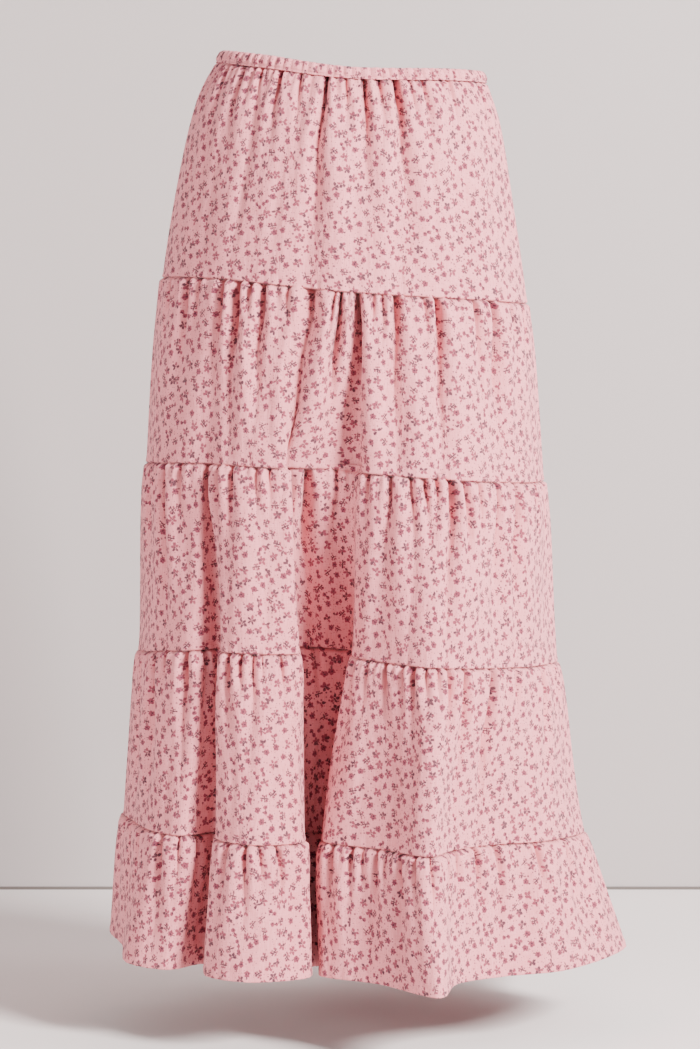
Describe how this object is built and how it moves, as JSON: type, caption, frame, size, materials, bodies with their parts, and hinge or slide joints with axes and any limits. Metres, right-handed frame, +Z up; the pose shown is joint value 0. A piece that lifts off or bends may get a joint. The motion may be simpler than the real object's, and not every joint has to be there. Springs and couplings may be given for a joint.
{
  "type": "tiered ruffle skirt",
  "caption": "Long flared skirt of gathered tiers on a narrow elastic casing, in soft woven cloth with a small scattered flower print, hanging open at the waist and hem.",
  "frame": {"origin": "centre of the waist opening, level with the casing's rim on average", "axes": "+Z up through the waist opening; -Y is the skirt's back, the side that the picture shows; +X is to the right as seen from behind"},
  "size_m": [0.5504, 0.5463, 0.9462],
  "materials": {
    "cloth": "matt plain-weave cloth, pale dusty pink, printed all over with small rose flowers and sprigs"
  },
  "bodies": {
    "root": {"waistband": "cloth", "tier_1_back": "cloth", "tier_1_front": "cloth", "tier_2_back": "cloth", "tier_2_front": "cloth", "tier_3_back": "cloth", "tier_3_front": "cloth", "tier_4_back": "cloth", "tier_4_front": "cloth", "tier_5_back": "cloth", "tier_5_front": "cloth"}
  },
  "joints": []
}
